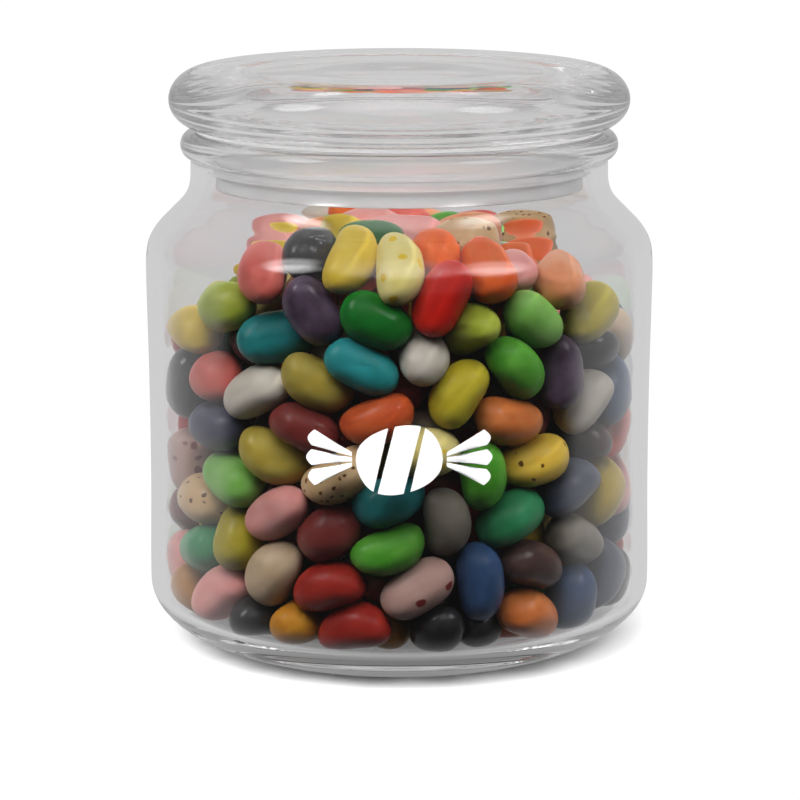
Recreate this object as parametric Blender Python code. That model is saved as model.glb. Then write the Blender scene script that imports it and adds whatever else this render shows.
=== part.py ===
"""Glass sweet jar with a flat glass lid in a soft plastic seal, filled with jelly beans.

Metres, +Z up, origin on the floor at the centre of the jar's foot, the jar's front along -Y.
Four solids: the jar, its lid, the seal round the lid's plug, and the heap of jelly beans.
"""
import math
import random

import bmesh
import bpy
from mathutils import Vector
from mathutils.geometry import interpolate_bezier

# Jar, outside
HEEL_RADIUS = 0.0540          # where the rounded heel meets the side
SHOULDER_RADIUS = 0.0542      # where the side meets the shoulder
WAIST = 0.0004                # how far the side is drawn in half way up
HEEL_HEIGHT = 0.0127
HEEL_REACH = 0.0262           # the heel's elliptical curve, sideways and downwards
HEEL_DROP = 0.0139
PUSH_UP = 0.0015              # the shallow hollow under the foot
PUSH_UP_RADIUS = 0.0300
FOOT_INNER_RADIUS = 0.0345    # inner edge of the flat ring that the jar stands on
SHOULDER_HEIGHT = 0.0784
SHOULDER_MID_RADIUS = 0.04877
SHOULDER_MID_HEIGHT = 0.09275
SHOULDER_SLOPE = math.radians(43.3)
NECK_RADIUS = 0.04445
NECK_HEIGHT = 0.1030
BEAD_PROUD = 0.00215          # how far the bead under the mouth stands out from the neck
BEAD_HEIGHT = 0.0052
MOUTH_HEIGHT = 0.1096

# Jar, inside
WALL = 0.0033
FLOOR = 0.0038
CORNER_REACH = 0.0200
CORNER_RISE = 0.0082
MOUTH_ROUND = 0.0010

# Lid
LID_TOP = 0.1231
LID_RADIUS = 0.0490
LID_EQUATOR = 0.11656
RIM_TOP_REACH = 0.0078
RIM_BOTTOM_REACH = 0.0069
LID_UNDERSIDE = 0.11063
PLUG_RADIUS = 0.0380
PLUG_INNER_RADIUS = 0.0338
PLUG_BOTTOM = 0.0985
RECESS_CEILING = 0.1155
RECESS_ROUND = 0.0035

# Seal
SEAL_GAP = 0.0003
SEAL_WALL = 0.0008
SEAL_BOTTOM = 0.0983
FLANGE_RADIUS = 0.0434
FIN_RADIUS = 0.04085
FIN_HEIGHTS = (0.1021, 0.1062)
FIN_THICKNESS = 0.0011

# Heap
HEAP_GAP = 0.0004             # clearance to the glass
HEAP_EDGE_HEIGHT = 0.0865     # mean height of the heap's edge
HEAP_EDGE_SWELL = 0.0100      # how far the edge rises at the front and back and falls at the sides
HEAP_CROWN_HEIGHT = 0.0965    # middle of the mound
BEAN_HOLLOW = 0.0028          # depth of the gaps between the beans of the outer layer
BEAN_DOME = 0.0007            # a bean's brow lies this far behind its middle
BEAN_BROW = 0.62              # and this share of the way from its middle to the gaps
COURSE_PITCH = 0.0106         # from one course of beans to the next, along the heap's surface
BEAN_PITCH = 0.0151           # from one bean to the next in a course
BEAN_SCATTER = 0.0018
BEAN_SINK = 0.0015            # how far behind the others a bean may lie
BEAN_SEED = 11

# Facets
SEGMENTS = 40


def clear_scene():
    """Remove whatever the open file holds."""
    for item in list(bpy.data.objects):
        bpy.data.objects.remove(item, do_unlink=True)


def material(name, colour, roughness, transmission=0.0):
    """A Principled material of one colour."""
    made = bpy.data.materials.new(name)
    made.use_nodes = True
    shader = made.node_tree.nodes["Principled BSDF"]
    shader.inputs["Base Color"].default_value = (*colour, 1.0)
    shader.inputs["Roughness"].default_value = roughness
    shader.inputs["Metallic"].default_value = 0.0
    shader.inputs["Transmission Weight"].default_value = transmission
    return made


def add_object(name, shape, finish):
    """Turn a bmesh into a smooth-shaded object with one material."""
    bmesh.ops.recalc_face_normals(shape, faces=shape.faces)
    mesh = bpy.data.meshes.new(name)
    shape.to_mesh(mesh)
    shape.free()
    mesh.materials.append(finish)
    mesh.shade_smooth()
    mesh.set_sharp_from_angle(angle=math.radians(40))
    made = bpy.data.objects.new(name, mesh)
    bpy.context.scene.collection.objects.link(made)
    return made


def ellipse_arc(centre, reach, start, end, steps):
    """(radius, height) points along an elliptical arc; angles in radians from the +radius side."""
    turn = (end - start) / steps
    angles = [start + turn * step for step in range(steps + 1)]
    return [(centre[0] + reach[0] * math.cos(angle), centre[1] + reach[1] * math.sin(angle)) for angle in angles]


def blend_curve(start, start_slope, end, end_slope, points):
    """A smooth curve upwards between two points; slopes are angles above the inward horizontal."""
    handle = 0.5 * math.dist(start, end)
    first = Vector((start[0], start[1], 0.0))
    last = Vector((end[0], end[1], 0.0))
    leave = first + handle * Vector((-math.cos(start_slope), math.sin(start_slope), 0.0))
    arrive = last - handle * Vector((-math.cos(end_slope), math.sin(end_slope), 0.0))
    return [(point.x, point.y) for point in interpolate_bezier(first, leave, arrive, last, points)]


def inset(outline, distance):
    """The same rising line moved towards the axis by a distance, square to its own direction."""
    moved = []
    for index, (radius, height) in enumerate(outline):
        before = outline[max(index - 1, 0)]
        after = outline[min(index + 1, len(outline) - 1)]
        along = Vector((after[0] - before[0], after[1] - before[1])).normalized()
        moved.append((radius - distance * along.y, height + distance * along.x))
    return moved


def turned(name, outline, finish):
    """Spin an outline of (radius, height) points once round the Z axis into a closed solid.

    An outline that starts and ends on the axis makes a plate or a cup, any other a ring.
    """
    shape = bmesh.new()
    points = [shape.verts.new((radius, 0.0, height)) for radius, height in outline]
    lines = [shape.edges.new(pair) for pair in zip(points, points[1:])]
    if outline[0][0] > 0.0:
        lines.append(shape.edges.new((points[-1], points[0])))
    bmesh.ops.spin(shape, geom=points + lines, axis=(0, 0, 1), cent=(0, 0, 0), angle=2 * math.pi, steps=SEGMENTS)
    bmesh.ops.remove_doubles(shape, verts=shape.verts, dist=1e-6)
    return add_object(name, shape, finish)


def side_line():
    """The jar's side, shoulder and neck outside, from the heel up to below the bead."""
    side = []
    for share in (0.0, 0.33, 0.67):
        radius = HEEL_RADIUS + (SHOULDER_RADIUS - HEEL_RADIUS) * share - WAIST * math.sin(math.pi * share) ** 2
        side.append((radius, HEEL_HEIGHT + (SHOULDER_HEIGHT - HEEL_HEIGHT) * share))
    upright = math.pi / 2
    foot = (SHOULDER_RADIUS, SHOULDER_HEIGHT)
    middle = (SHOULDER_MID_RADIUS, SHOULDER_MID_HEIGHT)
    neck = (NECK_RADIUS, NECK_HEIGHT)
    shoulder = blend_curve(foot, upright, middle, SHOULDER_SLOPE, 5)
    throat = blend_curve(middle, SHOULDER_SLOPE, neck, upright, 4)
    return side + shoulder + throat[1:]


def inner_line():
    """The jar's inner wall, from the curved corner at its floor up to the neck."""
    wall = inset(side_line(), WALL)
    centre = (wall[0][0] - CORNER_REACH, FLOOR + CORNER_RISE)
    corner = ellipse_arc(centre, (CORNER_REACH, CORNER_RISE), -math.pi / 2, 0.0, 4)
    return corner + wall[1:]


def make_jar(glass):
    """The jar: one piece of glass, from the push-up under its foot to its round mouth."""
    foot_angle = math.asin(HEEL_HEIGHT / HEEL_DROP)
    heel_centre = (HEEL_RADIUS - HEEL_REACH, HEEL_HEIGHT)
    heel = ellipse_arc(heel_centre, (HEEL_REACH, HEEL_DROP), -foot_angle, 0.0, 6)
    bead_centre = (NECK_RADIUS, MOUTH_HEIGHT - BEAD_HEIGHT / 2)
    bead = ellipse_arc(bead_centre, (BEAD_PROUD, BEAD_HEIGHT / 2), -math.pi / 2, math.pi / 2, 5)
    bore = NECK_RADIUS - WALL
    mouth_centre = (bore + MOUTH_ROUND, MOUTH_HEIGHT - MOUTH_ROUND)
    mouth = ellipse_arc(mouth_centre, (MOUTH_ROUND, MOUTH_ROUND), math.pi / 2, math.pi, 2)
    foot = [(0.0, PUSH_UP), (PUSH_UP_RADIUS, PUSH_UP), (FOOT_INNER_RADIUS, 0.0)]
    inside = inner_line()[::-1] + [(0.0, FLOOR)]
    return turned("jar", foot + heel + side_line()[1:] + bead + mouth + inside, glass)


def make_lid(glass):
    """The lid: a thick flat disc with a rounded rim, and a hollow plug that hangs into the neck."""
    rim_top = ellipse_arc((LID_RADIUS - RIM_TOP_REACH, LID_EQUATOR), (RIM_TOP_REACH, LID_TOP - LID_EQUATOR),
                          math.pi / 2, 0.0, 4)
    rim_bottom = ellipse_arc((LID_RADIUS - RIM_BOTTOM_REACH, LID_EQUATOR),
                             (RIM_BOTTOM_REACH, LID_EQUATOR - LID_UNDERSIDE), 0.0, -math.pi / 2, 4)
    plug_round = (PLUG_RADIUS - PLUG_INNER_RADIUS) / 2
    plug_centre = (PLUG_RADIUS - plug_round, PLUG_BOTTOM + plug_round)
    plug_end = ellipse_arc(plug_centre, (plug_round, plug_round), 0.0, -math.pi, 4)
    ceiling_centre = (PLUG_INNER_RADIUS - RECESS_ROUND, RECESS_CEILING - RECESS_ROUND)
    ceiling = ellipse_arc(ceiling_centre, (RECESS_ROUND, RECESS_ROUND), 0.0, math.pi / 2, 2)
    plug_root = [(PLUG_RADIUS, LID_UNDERSIDE)]
    outline = [(0.0, LID_TOP)] + rim_top + rim_bottom[1:] + plug_root + plug_end + ceiling
    return turned("lid", outline + [(0.0, RECESS_CEILING)], glass)


def make_seal(plastic):
    """The seal: a thin collar round the plug, with two fins in the bore and a flange under the lid."""
    inner = PLUG_RADIUS + SEAL_GAP
    outer = inner + SEAL_WALL
    flange_top = LID_UNDERSIDE - SEAL_GAP
    flange_bottom = MOUTH_HEIGHT + SEAL_GAP
    outline = [(inner, flange_top), (inner, SEAL_BOTTOM), (outer, SEAL_BOTTOM)]
    for height in FIN_HEIGHTS:
        outline.append((outer, height - FIN_THICKNESS))
        outline.append((FIN_RADIUS, height))
        outline.append((outer, height + FIN_THICKNESS / 2))
    outline += [(outer, flange_bottom), (FLANGE_RADIUS, flange_bottom), (FLANGE_RADIUS, flange_top)]
    return turned("lid_seal", outline, plastic)


def heap_limit():
    """The (radius, height) line just inside the glass that the heap stays within."""
    shrink = math.cos(math.pi / SEGMENTS)
    return [(radius * shrink, height) for radius, height in inset(inner_line(), HEAP_GAP)]


def cut_at(line, height):
    """The part of a rising (radius, height) line that lies below a height."""
    kept = [point for point in line if point[1] < height]
    lower, upper = kept[-1], line[len(kept)]
    share = (height - lower[1]) / (upper[1] - lower[1])
    return kept + [(lower[0] + (upper[0] - lower[0]) * share, height)]


def along(line, share):
    """The (radius, height) at a share of a line's length."""
    left = share * sum(math.dist(*pair) for pair in zip(line, line[1:]))
    for start, end in zip(line, line[1:]):
        span = math.dist(start, end)
        if left <= span:
            break
        left -= span
    part = min(left / span, 1.0)
    return start[0] + (end[0] - start[0]) * part, start[1] + (end[1] - start[1]) * part


def edge_height(angle):
    """Height of the heap's edge: high across the front and the back, with a steep fall to both sides."""
    swell = -math.cos(2.0 * angle) + 0.25 * math.cos(6.0 * angle)
    return HEAP_EDGE_HEIGHT + HEAP_EDGE_SWELL * swell


def heap_point(limit, angle, share):
    """A point on the heap's smooth form; share is 0 at the floor, 1 at the edge and 2 in the middle."""
    side = cut_at(limit, edge_height(angle))
    radius, height = along(side, min(share, 1.0))
    if share > 1.0:
        inward = share - 1.0
        radius *= 1.0 - inward
        height += (HEAP_CROWN_HEIGHT - height) * math.sin(0.5 * math.pi * inward)
    return Vector((radius * math.cos(angle), radius * math.sin(angle), height))


def inward_direction(limit, angle, share):
    """The unit direction into the heap, square to its smooth form."""
    step = 0.02
    above = min(share + step, 1.98)
    below = max(above - 2 * step, 0.0)
    around = Vector((-math.sin(angle), math.cos(angle), 0.0))
    upward = heap_point(limit, angle, above) - heap_point(limit, angle, below)
    return upward.cross(around).normalized()


def outer_beans(limit):
    """Angle and share of every bean that shows on the heap, in staggered courses up and over it."""
    chance = random.Random(BEAN_SEED)
    side = cut_at(limit, HEAP_EDGE_HEIGHT)
    side_courses = round(sum(math.dist(*pair) for pair in zip(side, side[1:])) / COURSE_PITCH)
    top_courses = round(side[-1][0] / COURSE_PITCH)
    shares = [(course + 0.5) / side_courses for course in range(side_courses)]
    shares += [1.0 + (course + 0.5) / top_courses for course in range(top_courses)]
    beans = []
    for course, share in enumerate(shares):
        reach = heap_point(limit, 0.0, share).xy.length
        count = max(3, round(2 * math.pi * reach / BEAN_PITCH))
        turn = 2 * math.pi / count
        for place in range(count):
            sideways = chance.uniform(-BEAN_SCATTER, BEAN_SCATTER) / reach
            upwards = chance.uniform(-BEAN_SCATTER, BEAN_SCATTER) / HEAP_EDGE_HEIGHT
            beans.append((turn * (place + 0.5 * (course % 2)) + sideways, share + upwards))
    return beans


def faces_around(vertex):
    """The faces that meet at a vertex, in turn."""
    loop = vertex.link_loops[0]
    faces = []
    while loop.face not in faces:
        faces.append(loop.face)
        loop = loop.link_loop_prev.link_loop_radial_next
    return faces


def make_heap(sugar):
    """The jelly beans as one solid, out to the uneven outline of its outer layer of beans.

    Each bean of that layer is a low dome, and the cells round the domes meet in the gaps between beans.
    """
    limit = heap_limit()
    beans = outer_beans(limit)
    inwards = [inward_direction(limit, angle, share) for angle, share in beans]
    chance = random.Random(BEAN_SEED)
    middles = [heap_point(limit, angle, share) + inward * chance.uniform(0.0, BEAN_SINK)
               for (angle, share), inward in zip(beans, inwards)]

    # Which beans are neighbours: the faces of a hull round their directions, and one for the floor
    centre = Vector((0.0, 0.0, HEAP_EDGE_HEIGHT / 2))
    hull = bmesh.new()
    for middle in middles:
        hull.verts.new((middle - centre).normalized())
    floor = hull.verts.new((0.0, 0.0, -1.0))
    bmesh.ops.convex_hull(hull, input=hull.verts)
    bmesh.ops.recalc_face_normals(hull, faces=hull.faces)
    hull.verts.index_update()
    hull.faces.index_update()

    shape = bmesh.new()
    floor_radius, floor_height = limit[0]
    gaps = {}
    for face in hull.faces:
        meeting = [vertex.index for vertex in face.verts if vertex is not floor]
        gap = sum((middles[bean] for bean in meeting), Vector()) / len(meeting)
        if floor in face.verts:
            gap = gap.xy.normalized().to_3d() * floor_radius + Vector((0.0, 0.0, floor_height))
        else:
            gap += sum((inwards[bean] for bean in meeting), Vector()).normalized() * BEAN_HOLLOW
        gaps[face] = shape.verts.new(gap)
    for vertex in hull.verts:
        border = [gaps[face] for face in faces_around(vertex)]
        if vertex is floor:
            shape.faces.new(border)
            continue
        middle, inward = middles[vertex.index], inwards[vertex.index]
        brow = []
        for corner in border:
            outwards = (corner.co - middle) * BEAN_BROW
            outwards -= inward * (outwards.dot(inward) - BEAN_DOME)
            brow.append(shape.verts.new(middle + outwards))
        top = shape.verts.new(middle)
        for place, corner in enumerate(border):
            shape.faces.new((border[place - 1], corner, brow[place], brow[place - 1]))
            shape.faces.new((brow[place - 1], brow[place], top))
    hull.free()
    return add_object("jelly_beans", shape, sugar)


def main():
    """Build the four solids."""
    clear_scene()
    glass = material("clear_glass", (0.93, 0.95, 0.95), 0.03, transmission=1.0)
    plastic = material("milky_plastic", (0.85, 0.85, 0.83), 0.4, transmission=0.5)
    sugar = material("sugar_shell", (0.55, 0.25, 0.15), 0.3)
    make_jar(glass)
    make_lid(glass)
    make_seal(plastic)
    make_heap(sugar)


main()
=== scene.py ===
"""Looks of a glass sweet jar filled with jelly beans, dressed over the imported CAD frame.

Metres, the jar's front along -Y, as in the frame. The glass, the lid and the seal are spun smooth from
the CAD nodes' own outlines. The heap node gives way to single beans that are packed between the glass
and a smaller core, with one joined mesh for each flavour.
"""
import math

import bmesh
import bpy
import numpy as np
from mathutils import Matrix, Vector
from mathutils.bvhtree import BVHTree
from mathutils.geometry import delaunay_2d_cdt


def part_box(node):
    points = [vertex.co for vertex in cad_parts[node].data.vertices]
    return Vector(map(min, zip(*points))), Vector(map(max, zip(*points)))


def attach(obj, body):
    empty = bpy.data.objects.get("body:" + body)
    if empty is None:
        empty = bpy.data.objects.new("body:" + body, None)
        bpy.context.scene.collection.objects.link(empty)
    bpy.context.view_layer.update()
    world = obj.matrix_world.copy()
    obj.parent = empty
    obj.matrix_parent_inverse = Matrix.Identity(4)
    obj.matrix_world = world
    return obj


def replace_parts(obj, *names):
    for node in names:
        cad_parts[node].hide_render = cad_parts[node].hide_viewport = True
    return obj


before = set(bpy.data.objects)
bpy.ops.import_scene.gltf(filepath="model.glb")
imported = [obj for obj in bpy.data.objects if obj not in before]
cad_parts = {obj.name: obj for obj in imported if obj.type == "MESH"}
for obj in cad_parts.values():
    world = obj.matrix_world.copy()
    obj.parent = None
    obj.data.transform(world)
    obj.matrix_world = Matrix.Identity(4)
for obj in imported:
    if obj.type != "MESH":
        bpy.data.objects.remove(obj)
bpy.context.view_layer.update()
chance = np.random.default_rng(7)

# Glass pieces: how finely their outlines are drawn and turned
TURN_STEPS = 192
OUTLINE_STEP = 0.0007
STRAIGHT_STEPS = 6            # most steps along a straight stretch
STRAIGHT = 0.99999            # cosine above which a stretch counts as straight
SHARP_TURN = math.radians(50)
CORNER_ROUND = 0.0004
CORNER_SHARE = 0.45           # most that a rounded corner takes of the stretch beside it
WALL_MARKS = 240              # places along the jar's inside that the beans are kept clear of

# Glass finishes: colour, roughness, share of the lamplight that goes straight through, clearness
CLEAR_GLASS = ((0.985, 0.981, 0.987), 0.0, 0.93, 1.0)
MILKY_PLASTIC = ((0.97, 0.97, 0.97), 0.36, 0.85, 0.72)

# One bean
BEAN_LENGTH = 0.0157
BEAN_WIDTH = 0.0104
SIZE_SPREAD = 0.035
BEAN_FULLNESS = 2.7           # power of its long outline: 2 is an ellipse, more has fuller ends
BEAN_TAPER = 0.07             # most that one end gains in thickness and the other loses
BEAN_CURVE = (0.05, 0.13)     # least and most bend, in half widths
BEAN_SECTION = (0.97, 0.94)   # its section's width and depth, in bean widths
BEAN_DENTS = ((0.018, 3.1, 2.7), (0.014, 4.3, 3.7))  # two sets of slow waves: depth, and waves each way
END_DENTS = (0.01, 3)         # waves that shift its ends
FINE_BALL = 4                 # subdivisions of a bean at the glass
COARSE_BALL = 3               # and of one further in

# Where the beans lie
GLASS_GAP = 0.00006
BEAN_PITCH = 0.0158           # mean room a bean takes along its ring where its flavour isn't chosen
RING_PITCH = 0.0096           # from one ring of beans to the next, towards the axis
INNERMOST = 0.003             # no ring is smaller than this radius
FRONT_REACH = 88              # degrees round to each side that the chosen beans fill
COURSES = 10
FIRST_COURSE = 0.0115
LAST_COURSE = 0.0895
OUTER_UNEVEN = 0.0015         # most that an unchosen outer bean lies above or below its course
INNER_UNEVEN = 0.003          # and one further in
LYING_SHARE = 0.85            # share of the unchosen outer beans that don't point at the glass
CORE_SCALE = 0.60
TOP_GRID = 41                 # samples of the heap's height each way
HEAP_SHARE = 0.9              # share of the heap's radius within which its height is read
SUNK = 0.2                    # a bean's middle is at least this far under the top, in bean widths
SHOULDER_HEIGHT = 0.084       # beans above this aren't pressed out against the sloping glass
BRIGHT_ABOVE = 0.076          # unchosen beans above this height and outside this radius are bright ones
BRIGHT_OUTSIDE = 0.026
BRIGHT = ("pink", "orange", "lemon", "apricot", "coral", "custard", "toffee", "white")
END_ON = None                 # lean of a bean that points at the glass
LOOSENESS = {"front": 0.04, "outer": 0.10, "inner": 0.45}  # how much a bean strays from its lean
END_ON_LOOSENESS = 0.25       # and from pointing at the glass

# How the beans settle
ROUNDS = 260
HELD_ROUNDS = 195             # the first rounds, in which beans sink and are drawn home and outwards
HOLD = 0.16                   # share of its way home that a chosen bean is drawn in a round
SINK = 0.00003                # fall of an unchosen bean in a round
LEAN_OUT = 0.00004            # move of an outer bean towards the glass in a round
END_BALL = 0.455              # radius of a bean's end balls, in bean widths
SEARCH_EVERY = 8              # rounds between searches for neighbours
SEARCH_REACH = 0.0145         # how far apart the balls of two neighbours may be
PUSH = 0.45                   # share of an overlap that one round clears
STIFFNESS = 0.2               # how much a bean's last way counts beside its end balls' new places
SETTLING = {"front": 0.15, "outer": 0.6, "inner": 1.0}  # how easily each kind of bean gives way

# Sugar shell
CLOUD_SCALE = 190             # of the noise that makes the clouds
CLOUD_RANGE = (0.35, 0.68)    # its values from no cloud to full cloud
TONE_RANGE = (0.84, 1.14)     # brightness from bean to bean

# Flecks on some shells: picked cells of a pattern that is bent by waves
FLECK_CELLS = 0.62            # cells to a fleck's width
FLECK_WAVES = 0.8             # waves to a fleck's width
FLECK_BEND = 0.9              # in fleck widths
FLECK_EDGE = (0.36, 0.24)     # where a fleck begins and is full, from a cell's middle, in cells

# Grain of a shell: its scale, the bump's strength and depth, and the weight of the glossy coat over it
SMOOTH_SHELL = (420, 0.2, 0.0003, 0.25)
CRINKLED_SHELL = (230, 0.45, 0.0004, 0.45)
CRINKLED = {"black", "cocoa", "plum", "amber"}

# Print: a wrapped sweet with a striped body and a pleated twist at each end
PRINT_HEIGHT = 0.0495
PRINT_PROUD = 0.00005
PRINT_BEDDED = 0.00003
PRINT_STEP = 0.0012           # from point to point inside a shape
PRINT_WALL = (0.015, 0.080)   # heights between which the jar's side is read
SWEET_HALF_LENGTH = 0.0088
SWEET_HALF_HEIGHT = 0.0072
STRIPE_EDGES = (-1.0, -0.36, 0.36, 1.0)
STRIPE_GAP = 0.0011
STRIPE_SLANT = 0.0020
STRIPE_STEPS = 24
KNOT_REACH = 0.0096
KNOT_HALF_HEIGHT = 0.0016
FAN_LENGTH = 0.0085
FAN_HALF_HEIGHT = 0.0062
FAN_CURVE = 0.10              # how much shorter a fan is at its corners
FAN_STEPS = 12
PLEATS = 3
PLEAT_GAP = 0.07
PLEAT_BULGE = 0.0011

# Brightness of the studio's parts: the backdrop is what the camera sees, the rest lights the scene and
# shows in the glass
BACKDROP = 1.02
STUDIO_FRONT = 0.192
# Painted light: in the glass the floor glows in place of a lit table, dark in front and bright behind
PAINTED_GLOW_IN_FRONT = 0.05           # the table in front of the jar
STUDIO_BACK = 0.608
PAINTED_GLOW_BEHIND = 0.62
# Painted shadow: under the jar that glow is dimmed to this share, as if the jar shaded it
PAINTED_SHADOW_UNDER_JAR = 0.30       # share of the table's brightness that is left under the jar
STUDIO_CEILING = 0.28

# Where those parts give way to each other
FLOOR_FADE = (0.035, 0.078)   # from the jar's shade to white, by distance from the axis
TABLE_EDGE = (-0.075, -0.030)
PAINTED_SHADOW_SPAN = (0.030, 0.056)
FRONT_TO_BACK = (-0.15, 0.80)
CEILING_EDGE = (0.70, 0.98)

# Lamps: bearing and elevation seen from the jar, distance, width, height and radiance. A fill is never
# seen in or through the glass.
AIM_HEIGHT = 0.06
SOFTBOX_DISTANCE = 1.4
FILL_DISTANCE = 0.45
SOFTBOX_EDGE = (0.5, 0.22)    # from dark at the rim to full, by distance from the middle in diameters
SOFTBOX_PEAK = 1.5
SOFTBOXES = {
    "front_softbox": (0, 50, SOFTBOX_DISTANCE, 1.6, 1.3, 0.9),
    "left_softbox": (-62, 44, SOFTBOX_DISTANCE, 0.6, 0.9, 4.6),
    "right_softbox": (52, 42, SOFTBOX_DISTANCE, 0.8, 0.9, 3.2),
}
FILLS = {
    "top_fill": (-15, 62, FILL_DISTANCE, 0.5, 0.4, 11.5),
    "left_fill": (-80, 32, FILL_DISTANCE, 0.4, 0.4, 4.5),
    "right_fill": (75, 32, FILL_DISTANCE, 0.4, 0.4, 3.0),
}
LIGHT_BOUNCES = 64
CLEAR_BOUNCES = 16

# Camera
CAMERA_PLACE = (0.0, -0.7195, 0.1961)
CAMERA_DOWN = 11.43           # degrees
CAMERA_LENS = 152.7
CAMERA_SHIFT = (0.0009, 0.0022)

# Flavours: colour, cloud colour, how strong the clouds are, then the flecks on some: colour, width, share
FLAVOURS = {
    "lemon": ((0.76, 0.52, 0.03), (0.84, 0.64, 0.09), 0.6, None, 0.0, 0.0),
    "lime": ((0.34, 0.42, 0.03), (0.48, 0.54, 0.09), 0.7, None, 0.0, 0.0),
    "pear": ((0.50, 0.40, 0.015), (0.62, 0.53, 0.05), 0.7, None, 0.0, 0.0),
    "pea": ((0.065, 0.32, 0.02), (0.15, 0.45, 0.06), 0.7, None, 0.0, 0.0),
    "leaf": ((0.22, 0.55, 0.09), (0.34, 0.66, 0.18), 0.7, None, 0.0, 0.0),
    "forest": ((0.002, 0.105, 0.008), (0.008, 0.17, 0.02), 0.6, None, 0.0, 0.0),
    "emerald": ((0.02, 0.21, 0.075), (0.05, 0.30, 0.13), 0.6, None, 0.0, 0.0),
    "teal": ((0.01, 0.19, 0.19), (0.03, 0.31, 0.33), 0.7, None, 0.0, 0.0),
    "blue": ((0.020, 0.050, 0.12), (0.045, 0.09, 0.19), 0.6, None, 0.0, 0.0),
    "navy": ((0.04, 0.042, 0.08), (0.07, 0.075, 0.13), 0.6, None, 0.0, 0.0),
    "slate": ((0.07, 0.08, 0.125), (0.12, 0.13, 0.18), 0.7, None, 0.0, 0.0),
    "plum": ((0.028, 0.014, 0.028), (0.10, 0.065, 0.11), 0.8, None, 0.0, 0.0),
    "maroon": ((0.14, 0.018, 0.016), (0.21, 0.045, 0.038), 0.6, None, 0.0, 0.0),
    "ruby": ((0.34, 0.016, 0.010), (0.45, 0.04, 0.025), 0.6, None, 0.0, 0.0),
    "cherry": ((0.48, 0.007, 0.003), (0.60, 0.02, 0.01), 0.6, None, 0.0, 0.0),
    "coral": ((0.76, 0.13, 0.10), (0.84, 0.25, 0.20), 0.6, None, 0.0, 0.0),
    "ember": ((0.58, 0.085, 0.02), (0.68, 0.15, 0.045), 0.6, None, 0.0, 0.0),
    "pink": ((0.93, 0.37, 0.34), (0.97, 0.53, 0.48), 0.6, None, 0.0, 0.0),
    "orange": ((0.92, 0.12, 0.008), (0.95, 0.22, 0.03), 0.6, None, 0.0, 0.0),
    "amber": ((0.66, 0.17, 0.035), (0.76, 0.28, 0.09), 0.6, None, 0.0, 0.0),
    "apricot": ((0.88, 0.33, 0.15), (0.94, 0.46, 0.26), 0.6, None, 0.0, 0.0),
    "golden": ((0.52, 0.20, 0.015), (0.62, 0.30, 0.03), 0.6, None, 0.0, 0.0),
    "olive": ((0.44, 0.33, 0.045), (0.56, 0.45, 0.10), 0.7, None, 0.0, 0.0),
    "white": ((0.68, 0.62, 0.52), (0.80, 0.76, 0.68), 0.6, None, 0.0, 0.0),
    "stone": ((0.58, 0.42, 0.27), (0.68, 0.53, 0.38), 0.6, None, 0.0, 0.0),
    "ash": ((0.20, 0.175, 0.14), (0.29, 0.26, 0.21), 0.7, None, 0.0, 0.0),
    "cocoa": ((0.055, 0.028, 0.024), (0.10, 0.055, 0.045), 0.6, None, 0.0, 0.0),
    "black": ((0.005, 0.005, 0.006), (0.018, 0.017, 0.017), 0.5, None, 0.0, 0.0),
    "banana": ((0.90, 0.57, 0.06), (0.94, 0.69, 0.14), 0.5, (0.16, 0.06, 0.01), 0.0011, 0.14),
    "toffee": ((0.72, 0.46, 0.22), (0.80, 0.60, 0.36), 0.6, (0.16, 0.06, 0.02), 0.0010, 0.34),
    "cream": ((0.56, 0.34, 0.29), (0.66, 0.45, 0.39), 0.5, (0.20, 0.02, 0.02), 0.0020, 0.22),
    "berry": ((0.30, 0.018, 0.010), (0.40, 0.04, 0.02), 0.5, (0.75, 0.28, 0.04), 0.0013, 0.34),
    "custard": ((0.88, 0.74, 0.24), (0.93, 0.83, 0.42), 0.5, (0.85, 0.58, 0.01), 0.0018, 0.24),
}

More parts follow.
